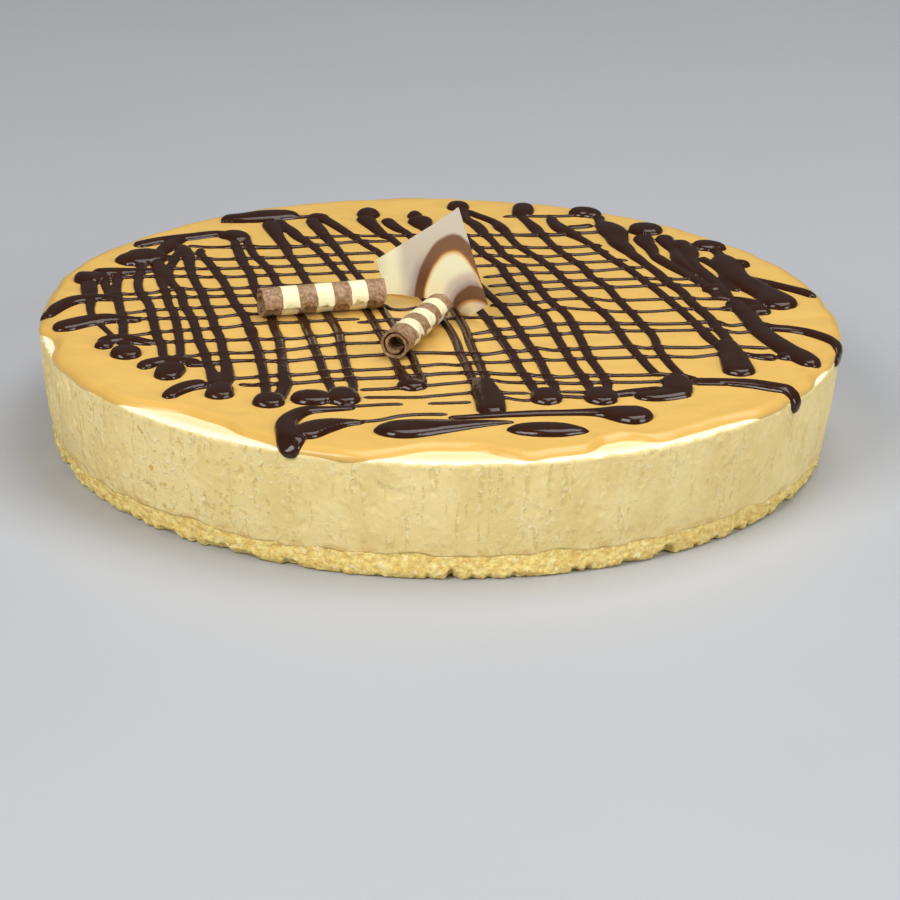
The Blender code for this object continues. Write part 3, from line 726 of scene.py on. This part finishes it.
def smooth_run(pour, step=1.2):
    """Places along one strand every step, in mm, with its width there."""
    knots = np.array([point if len(point) == 3 else (*point, pour[0]) for point in pour[1:]], float)
    knots = np.vstack((2.0 * knots[0] - knots[1], knots, 2.0 * knots[-1] - knots[-2]))
    run = []
    for before, start, end, after in zip(knots, knots[1:], knots[2:], knots[3:]):
        count = max(int(np.hypot(*(end - start)[:2]) / step), 2)
        for share in np.arange(count) / count:
            run.append(start + 0.5 * share * (end - before + share * (
                2.0 * before - 5.0 * start + 4.0 * end - after
                + share * (3.0 * (start - end) + after - before))))
    run = np.array(run + [knots[-2]])
    # Its ends close in a half round
    along = np.concatenate(((0.0,), np.cumsum(np.hypot(*np.diff(run[:, :2], axis=0).T))))
    from_end = np.minimum(along, along[-1] - along) + 0.12
    share = np.clip(from_end / (0.5 * run[:, 2]), 0.0, 1.0)
    run[:, 2] *= np.sqrt(1.0 - (1.0 - share) ** 2)
    return run


def poured(name, runs):
    """One body of chocolate: every strand swept with the upright section, melted together."""
    section = place_new(bpy.ops.curve.primitive_bezier_curve_add)
    section.data.splines.clear()
    outline = section.data.splines.new("POLY")
    outline.points.add(len(STRAND_SECTION) - 1)
    outline.use_cyclic_u = True
    for point, (side, up) in zip(outline.points, STRAND_SECTION):
        point.co = (side, up, 0.0, 1.0)
    drizzle = place_new(bpy.ops.curve.primitive_bezier_curve_add)
    drizzle.name = name
    curve = drizzle.data
    curve.splines.clear()
    curve.dimensions = "3D"
    curve.twist_mode = "Z_UP"
    curve.bevel_mode = "OBJECT"
    curve.bevel_object = section
    curve.use_fill_caps = True
    for run, lift in runs:
        strand = curve.splines.new("POLY")
        strand.points.add(len(run) - 1)
        for point, (x, y, width), raised in zip(strand.points, run, lift):
            point.co = (x * MM, y * MM, raised * MM, 1.0)
            point.radius = 0.5 * width * MM
    bpy.ops.object.convert(target="MESH")
    drizzle = bpy.context.object
    bpy.data.objects.remove(section, do_unlink=True)
    melted = drizzle.modifiers.new("melted", "REMESH")
    melted.mode = "VOXEL"
    melted.voxel_size = DRIZZLE_CELL
    bpy.ops.object.modifier_apply(modifier="melted")
    points = points_of(drizzle)
    points[:, 2] = DRIZZLE_TALLEST * np.tanh(points[:, 2] / DRIZZLE_TALLEST)
    move_points(drizzle, points)
    settled = drizzle.modifiers.new("settled", "SMOOTH")
    settled.factor = 0.5
    settled.iterations = 5
    bpy.ops.object.modifier_apply(modifier="settled")
    triangles = sum(len(face.vertices) - 2 for face in drizzle.data.polygons)
    thinned = drizzle.modifiers.new("thinned", "DECIMATE")
    thinned.ratio = min(1.0, DRIZZLE_FACES / triangles)
    bpy.ops.object.modifier_apply(modifier="thinned")
    points = points_of(drizzle)
    x, y, rise = points.T
    bearing = np.arctan2(y, x)
    radius, height = on_filling(np.hypot(x, y), rise + caramel_top(x, y))
    move_points(drizzle, np.stack((radius * np.cos(bearing), radius * np.sin(bearing), height), axis=1))
    bpy.ops.object.shade_smooth()
    return drizzle


first_runs = [smooth_run(pour) for pour in FIRST_POUR]
second_runs = [smooth_run(pour) for pour in SECOND_POUR]
first_places = np.vstack(first_runs)


def ridden_over(run):
    """How far a thin strand is raised where it crosses a thick one."""
    away = np.hypot(run[:, None, 0] - first_places[None, :, 0], run[:, None, 1] - first_places[None, :, 1])
    nearest = away.argmin(axis=1)
    beside = away.min(axis=1) / (0.5 * first_places[nearest, 2] + 0.5)
    return 0.10 + 0.42 * np.exp(-beside ** 4) * (run[:, 2] < 3.0)


def left_of_split(run):
    """Whether each place lies left of the first pour's thirteenth strand, along which the drizzle is parted."""
    strand = first_runs[12]
    return run[:, 0] < np.interp(-run[:, 1], -strand[:, 1], strand[:, 0])


left_pour, right_pour = [], []
for run in first_runs:
    (left_pour if left_of_split(run).mean() > 0.5 or run is first_runs[12] else right_pour).append(
        (run, np.zeros(len(run))))
for run in second_runs:
    lift = ridden_over(run)
    on_left = left_of_split(run)
    turning = np.flatnonzero(np.diff(on_left.astype(int)))
    ends = [0, *(turning + 1), len(run)]
    for start, end in zip(ends, ends[1:]):
        part = slice(max(start - 1, 0), min(end + 1, len(run)))
        if part.stop - part.start > 3:
            (left_pour if on_left[start] else right_pour).append((run[part], lift[part]))

chocolate_finish = Finish("dark_chocolate", {
    "Roughness": 0.15, "Specular IOR Level": 0.34, "Coat Weight": 0.10, "Coat Roughness": 0.04,
})
thin_spots = chocolate_finish.clouds(0.006, detail=2.0)
chocolate_colour = chocolate_finish.mix(thin_spots, (0.024, 0.0070, 0.0036), (0.042, 0.0142, 0.0070))
chocolate_height = chocolate_finish.clouds(0.0022, detail=2.0)
chocolate_finish.show({
    "Base Color": chocolate_colour,
    "Normal": chocolate_finish.relief(chocolate_height, 0.00010),
})
for name, runs in (("drizzle_left", left_pour), ("drizzle_right", right_pour)):
    drizzle = poured(name, runs)
    drizzle.data.materials.clear()
    drizzle.data.materials.append(chocolate_finish.made)
    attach(drizzle, "root")


# ---- Chocolate curls ----
# Two rolls of a thin two-coloured chocolate sheet lie on the caramel. Milk and cream chocolate
# bands ring each roll, the cut seam shows on its side, and the inner turn has sprung open.

CURL_LENGTH = 0.0395
CURL_RADIUS = 0.0052
CURL_WALL = 0.00085
CURL_TURNS = 1.8
FIRST_TURN_PITCH = 0.00110
INNER_TURN_PITCH = 0.0018
CURL_ROWS = 96
STEPS_PER_TURN = 60
LEFT_CURL = {"centre": (-0.0372, -0.0018), "bearing": 17.4, "seam": -4.0, "clockwise": False, "taper": 1.02,
             "bands_start": 0.0011}
RIGHT_CURL = {"centre": (-0.0070, -0.0255), "bearing": 71.2, "seam": 12.0, "clockwise": False, "taper": 0.92,
              "bands_start": 0.0}
BAND_EDGES = (7.2, 12.5, 18.3, 23.7, 29.3, 34.7)  # mm from the near end; brown comes first


def rolled_sheet(name, place):
    """The roll, from the outline of its spiral drawn out along its length."""
    turns = np.linspace(0.0, CURL_TURNS, round(CURL_TURNS * STEPS_PER_TURN) + 1)
    tight = FIRST_TURN_PITCH * turns + 0.5 * (INNER_TURN_PITCH - FIRST_TURN_PITCH) * turns ** 2 / CURL_TURNS
    angle = math.radians(place["seam"]) + 2.0 * math.pi * turns * (-1.0 if place["clockwise"] else 1.0)
    radius = CURL_RADIUS - tight
    ring = place_new(bpy.ops.mesh.primitive_circle_add, vertices=2 * len(turns) + 4, radius=1.0)
    ring.name = name
    # From the seam in along the outer face, round the inner edge, back out, and round the seam's edge
    outer = np.stack((np.cos(angle), np.zeros_like(angle), np.sin(angle)), axis=1)
    seam_middle = outer[0] * (radius[0] - CURL_WALL / 2.0)
    core_middle = outer[-1] * (radius[-1] - CURL_WALL / 2.0)
    ahead = np.sign(-1.0 if place["clockwise"] else 1.0) * np.array((-math.sin(angle[0]), 0.0, math.cos(angle[0])))
    inward = np.sign(-1.0 if place["clockwise"] else 1.0) * np.array((-math.sin(angle[-1]), 0.0, math.cos(angle[-1])))
    caps = [core_middle + inward * CURL_WALL * 0.35 + outer[-1] * CURL_WALL * side for side in (0.25, -0.25)]
    lips = [seam_middle - ahead * CURL_WALL * 0.35 + outer[0] * CURL_WALL * side for side in (-0.25, 0.25)]
    outline = np.vstack((outer * radius[:, None], caps, (outer * (radius - CURL_WALL)[:, None])[::-1], lips))
    outline[:, 1] = -CURL_LENGTH / 2.0
    move_points(ring, outline)
    bpy.ops.object.mode_set(mode="EDIT")
    bpy.ops.mesh.select_all(action="SELECT")
    bpy.ops.mesh.edge_face_add()
    bpy.ops.mesh.extrude_region_move(TRANSFORM_OT_translate={"value": (0.0, CURL_LENGTH, 0.0)})
    choose(ring, "EDGE", lambda edge: abs(edge.verts[0].co.y - edge.verts[1].co.y) > 0.5 * CURL_LENGTH)
    bpy.ops.mesh.subdivide(number_cuts=CURL_ROWS - 1)
    bpy.ops.mesh.select_all(action="SELECT")
    bpy.ops.mesh.normals_make_consistent(inside=False)
    bpy.ops.object.mode_set(mode="OBJECT")
    points = points_of(ring)
    share = points[:, 1] / CURL_LENGTH + 0.5
    lowest = points[:, 2].min()
    narrowing = 1.0 + (place["taper"] - 1.0) * share
    points[:, 0] *= narrowing
    points[:, 2] = lowest + (points[:, 2] - lowest) * narrowing
    # Flakes that broke from the sheet's edges, at the seam and at both ends
    middle = np.array((0.0, 0.0, lowest + CURL_RADIUS))
    from_axis = points - middle
    from_axis[:, 1] = 0.0
    reach = np.linalg.norm(from_axis, axis=1)
    near_end = smooth_step(np.abs(share - 0.5), 0.5 - 0.045, 0.5)
    torn = lumps(points, 0.0011) * 0.5 + lumps(points, 0.0024, shift=3.0)
    points[:, 1] += 0.00050 * near_end * torn * np.sign(share - 0.5)
    from_seam = np.degrees(np.arctan2(from_axis[:, 2], from_axis[:, 0])) - place["seam"]
    on_flap = (np.abs(from_seam - 9.0) < 22.0) & (reach > CURL_RADIUS - 1.1 * CURL_WALL)
    ragged = 0.0018 * lumps(points * (0.0, 1.0, 0.0), 0.0032, shift=2.0) + 0.0010 * lumps(
        points * (0.0, 1.0, 0.0), 0.0012, shift=6.0)
    points[:, 2] += on_flap * ragged * smooth_step(from_seam, 26.0, 4.0)
    dent = 0.00006 * lumps(points, 0.0035, shift=5.0) + 0.00003 * lumps(points, 0.0012, shift=9.0)
    points += from_axis / np.maximum(reach, 1e-5)[:, None] * (dent * (reach > 0.0045))[:, None]
    turn = math.radians(place["bearing"] - 90.0)
    placed = points @ np.array(((math.cos(turn), math.sin(turn), 0.0), (-math.sin(turn), math.cos(turn), 0.0),
                                (0.0, 0.0, 1.0)))
    move_points(ring, placed + (*place["centre"], FILLING_TOP + CARAMEL_THICKNESS + 2.0 * GAP - lowest))
    bpy.ops.object.shade_smooth_by_angle(angle=math.radians(42.0))
    return ring


def banded_chocolate(name, place):
    """Milk and cream chocolate in bands across the roll."""
    finish = Finish(name, {"Roughness": 0.36, "Specular IOR Level": 0.45})
    bearing = math.radians(place["bearing"])
    axis = (math.cos(bearing), math.sin(bearing), 0.0)
    start = place["centre"][0] * axis[0] + place["centre"][1] * axis[1] - CURL_LENGTH / 2.0
    along = finish.node("ShaderNodeVectorMath", {"operation": "DOT_PRODUCT"}, {0: finish.place, 1: axis}, "Value")
    wander = finish.clouds(0.0040, detail=2.0) - 0.5
    along = (along - start + place["bands_start"]) * 1000.0 + wander * 0.9
    cream = 0.0
    for first, last in zip(BAND_EDGES[::2], BAND_EDGES[1::2]):
        cream = cream + finish.between(along, first - 0.12, first + 0.12) - finish.between(along, last - 0.12, last + 0.12)
    flecks = finish.clouds(0.0011, detail=5.0, shift=3.0)
    brown = finish.mix(finish.between(flecks, 0.36, 0.66), (0.25, 0.133, 0.060), (0.44, 0.27, 0.145))
    brown = finish.mix(finish.between(finish.clouds(0.0007, detail=3.0, shift=8.0), 0.60, 0.70) * 0.5, brown, (0.62, 0.44, 0.28))
    pale = finish.mix(flecks, (0.93, 0.83, 0.47), (0.98, 0.92, 0.60))
    flake_height = flecks * (1.0 - 0.7 * cream)
    finish.show({"Base Color": finish.mix(cream, brown, pale), "Normal": finish.relief(flake_height, 0.0005)})
    return finish.made


for side, place in (("left", LEFT_CURL), ("right", RIGHT_CURL)):
    curl = rolled_sheet("curl_" + side, place)
    curl.data.materials.append(banded_chocolate("banded_chocolate_" + side, place))
    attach(curl, "root")
    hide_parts("chocolate_curl_" + side)


# ---- Marbled shard ----
# A thin curved sheet of cream chocolate, swirled with milk chocolate arches and broken to three
# points. It stands on its long foot in the caramel, just behind the curls. Its faces carry painted shade
# and painted reflections, and it glows faintly in its own colours: painted light.

SHARD_THICKNESS = 0.0011
SHARD_FOOT_LEFT = (-0.0172, 0.0181)
SHARD_FOOT_RIGHT = (0.0098, -0.0020)
SHARD_HOLLOW = 0.0050
SHARD_CUT_SLOPE = 0.38
SHARD_CORNERS = ((-0.0172, 0.0), (-0.0210, 0.0110), (0.0049, 0.0330), (0.0147, 0.0062), (0.0098, 0.0))
SHARD_FOOT_HEIGHT = FILLING_TOP + CARAMEL_THICKNESS + 2.0 * GAP


def shard_depth(x):
    """Y of the standing shard's front face at a given x."""
    left, right = SHARD_FOOT_LEFT, SHARD_FOOT_RIGHT
    along = (x - left[0]) / (right[0] - left[0])
    return left[1] + (right[1] - left[1]) * along + SHARD_HOLLOW * (1.0 - (2.0 * along - 1.0) ** 2)


shard = place_new(bpy.ops.mesh.primitive_grid_add, x_subdivisions=96, y_subdivisions=90, size=1.0)
shard.name = "marbled_shard"
points = points_of(shard)
sheet_x = -0.0230 + (points[:, 0] + 0.5) * 0.0397
sheet_z = (points[:, 1] + 0.5) * 0.0350
move_points(shard, np.stack((sheet_x, shard_depth(sheet_x), sheet_z), axis=1))
bpy.ops.object.mode_set(mode="EDIT")
bpy.ops.mesh.select_all(action="SELECT")
bpy.ops.mesh.solidify(thickness=-SHARD_THICKNESS)
corners = [Vector((x, shard_depth(x), height)) for x, height in SHARD_CORNERS]
middle = sum(corners, Vector()) / len(corners)
for start, end in zip(corners, corners[1:]):
    across = (end - start).cross(Vector((0.0, 1.0, -SHARD_CUT_SLOPE))).normalized()
    if across.dot(middle - start) > 0.0:
        across.negate()
    bpy.ops.mesh.select_all(action="SELECT")
    bpy.ops.mesh.bisect(plane_co=start, plane_no=across, clear_outer=True, use_fill=True)
bpy.ops.mesh.select_all(action="SELECT")
bpy.ops.mesh.normals_make_consistent(inside=False)
bpy.ops.object.mode_set(mode="OBJECT")
points = points_of(shard)
points[:, 2] += SHARD_FOOT_HEIGHT
move_points(shard, points)
cut = [float(abs(face.normal.dot(Vector((0.6, 0.8, 0.0)))) < 0.6) for face in shard.data.polygons]
shard.data.attributes.new("cut_face", "FLOAT", "FACE").data.foreach_set("value", cut)
bpy.ops.object.shade_smooth_by_angle(angle=math.radians(40.0))

shard_finish = Finish("marbled_chocolate", {"Roughness": 0.26, "Specular IOR Level": 0.5, "Coat Weight": 0.15,
                                            "Coat Roughness": 0.06})
across = shard_finish.axis("X") * 1000.0 + (shard_finish.clouds(0.010, detail=1.0) - 0.5) * 0.9
up = (shard_finish.axis("Z") - SHARD_FOOT_HEIGHT) * 1000.0 + (shard_finish.clouds(0.009, shift=5.0) - 0.5) * 0.9


def arch(middle_x, half_width, height, power):
    """1 on the edge of an arch, less inside it and more outside, in mm across the sheet."""
    return (abs(across - middle_x) / half_width) ** power + (abs(up) / height) ** power


outer_arch = arch(5.2, 13.4, 24.5, 1.70)
inner_arch = arch(5.2, 10.6, 19.6, 1.75)
corner_arch = arch(13.0, 9.4, 11.1, 1.80)
corner_core = arch(13.0, 7.8, 6.8, 1.65)
low_down = shard_finish.between(up, 17.0, 5.0)
milk = shard_finish.mix(low_down, (0.235, 0.120, 0.072), (0.150, 0.070, 0.038))
# Outside the arch: cream at the left corner, then painted shade greying it towards the arch, darkest in a band along
# it, and a painted grey reflection of the room towards the top
outer_face = shard_finish.mix(shard_finish.between(across, -20.5, -16.0), (0.84, 0.79, 0.54), (0.99, 0.95, 0.64))
outer_face = shard_finish.mix(shard_finish.between(across + up * 0.12, -14.2, -9.5), outer_face, (0.67, 0.605, 0.485))
outer_face = shard_finish.mix(shard_finish.between(up, 16.0, 27.0) * 0.7, outer_face, (0.75, 0.685, 0.585))
arch_shade = shard_finish.between(outer_arch, 1.42, 1.02) * shard_finish.between(up, 19.0, 6.0)
outer_face = shard_finish.mix(arch_shade, outer_face, (0.42, 0.355, 0.315))
# Inside it: cream, with a burnt edge, and painted shade greying and darkening it round the corner's own small arch
inner_face = shard_finish.mix(shard_finish.between(up, 4.0, 14.0), (0.99, 0.92, 0.58), (0.99, 0.97, 0.68))
inner_face = shard_finish.mix(shard_finish.between(corner_arch, 2.1, 1.45), inner_face, (0.69, 0.575, 0.475))
inner_face = shard_finish.mix(shard_finish.between(corner_arch, 1.45, 1.08), inner_face, (0.47, 0.355, 0.290))
inner_face = shard_finish.mix(shard_finish.between(inner_arch, 0.82, 0.95), inner_face, (0.86, 0.56, 0.230))
inner_face = shard_finish.mix(shard_finish.between(inner_arch, 0.92, 1.00), inner_face, (0.42, 0.165, 0.050))
inner_face = shard_finish.mix(shard_finish.between(inner_arch, 0.97, 1.07), inner_face, milk)
# The corner's core: cream warmed to gold on its left by a painted reflection of the caramel, and greyed on its right by
# a painted reflection of the room
core_face_and_reflections = shard_finish.mix(shard_finish.between(across, 9.0, 13.5), (0.92, 0.74, 0.43), (0.70, 0.56, 0.445))
core_face_and_reflections = shard_finish.mix(shard_finish.between(corner_core, 0.72, 0.98), core_face_and_reflections, (0.55, 0.25, 0.080))
core_face_and_reflections = shard_finish.mix(shard_finish.between(corner_core, 0.94, 1.12), core_face_and_reflections, milk)
face = shard_finish.mix(shard_finish.between(corner_arch, 1.10, 0.95), inner_face, core_face_and_reflections)
face = shard_finish.mix(shard_finish.between(outer_arch, 0.97, 1.07), face, outer_face)
# The cut faces all take one pale cream: the sheet's own cream, with painted light that keeps these edges from going
# dark in shade
cut_face = shard_finish.node("ShaderNodeAttribute", {"attribute_name": "cut_face"}, output="Fac")
face = shard_finish.mix(cut_face, face, (0.95, 0.85, 0.56))
shard_finish.show({
    "Base Color": face,
    # A faint glow in the sheet's own colours: painted light, no lamp, standing in for light shining through the thin
    # sheet.
    "Emission Color": face,
    "Emission Strength": 0.13,
    "Normal": shard_finish.relief(shard_finish.clouds(0.004, detail=3.0, shift=2.0), 0.00012),
})
shard.data.materials.append(shard_finish.made)
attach(shard, "root")
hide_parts("chocolate_shard")
